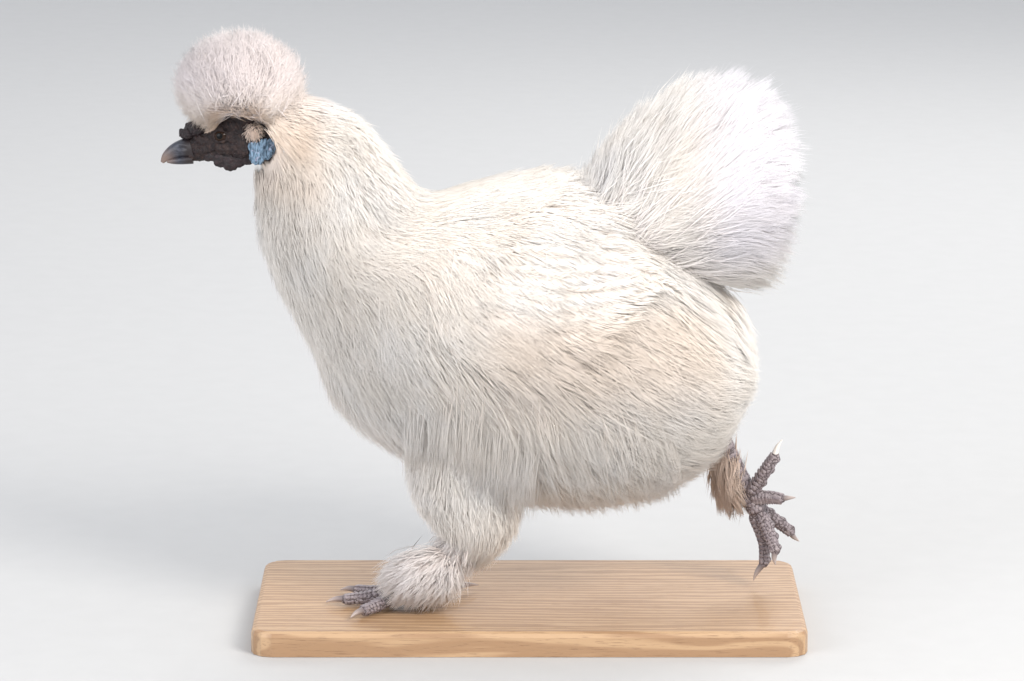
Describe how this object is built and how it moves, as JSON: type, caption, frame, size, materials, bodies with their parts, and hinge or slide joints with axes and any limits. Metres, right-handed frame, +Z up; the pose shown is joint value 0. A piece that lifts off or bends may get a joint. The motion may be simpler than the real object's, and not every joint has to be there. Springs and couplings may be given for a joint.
{
  "type": "silkie chicken display model",
  "caption": "Life-size silkie chicken in mid stride, with fluffy crest, blue earlobes and feathered feet, standing still on a flat wooden base.",
  "frame": {"origin": "centre of the display base's flat underside", "axes": "+Z up, the bird faces -X, its left side is towards -Y"},
  "size_m": [0.3627, 0.1716, 0.3381],
  "materials": {
    "base_wood": "oiled hardwood, satin",
    "plumage": "soft silky white to cream feathering, matte",
    "tail_plumage": "soft cool white feathering, matte",
    "crest_plumage": "short dense cool white down, matte",
    "face_skin": "black-brown wrinkled skin, dull",
    "comb_skin": "dark mulberry knobbly skin, dull",
    "earlobe_skin": "turquoise blue skin, soft",
    "bill_horn": "slate grey horn, satin",
    "shank_scales": "slate grey scaly skin, dull",
    "claw_horn": "pale horn, satin",
    "eye": "dark brown to black, wet gloss"
  },
  "bodies": {
    "root": {"beak_lower": "bill_horn", "beak_upper": "bill_horn", "claw_left_1": "claw_horn", "claw_left_2": "claw_horn", "claw_left_3": "claw_horn", "claw_left_4": "claw_horn", "claw_left_5": "claw_horn", "claw_right_1": "claw_horn", "claw_right_2": "claw_horn", "claw_right_3": "claw_horn", "claw_right_4": "claw_horn", "claw_right_5": "claw_horn", "comb": "comb_skin", "crest": "crest_plumage", "earlobe_left": "earlobe_skin", "earlobe_right": "earlobe_skin", "eye_left": "eye", "eye_right": "eye", "head": "face_skin", "neck": "plumage", "shank_left": "shank_scales", "shank_right": "shank_scales", "stand_base": "base_wood", "tail": "tail_plumage", "thigh_left": "plumage", "thigh_right": "plumage", "toe_left_1": "shank_scales", "toe_left_2": "shank_scales", "toe_left_3": "shank_scales", "toe_left_4": "shank_scales", "toe_left_5": "shank_scales", "toe_right_1": "shank_scales", "toe_right_2": "shank_scales", "toe_right_3": "shank_scales", "toe_right_4": "shank_scales", "toe_right_5": "shank_scales", "torso": "plumage", "wattle_left": "face_skin", "wattle_right": "face_skin", "wing_left": "plumage", "wing_right": "plumage"}
  },
  "joints": []
}
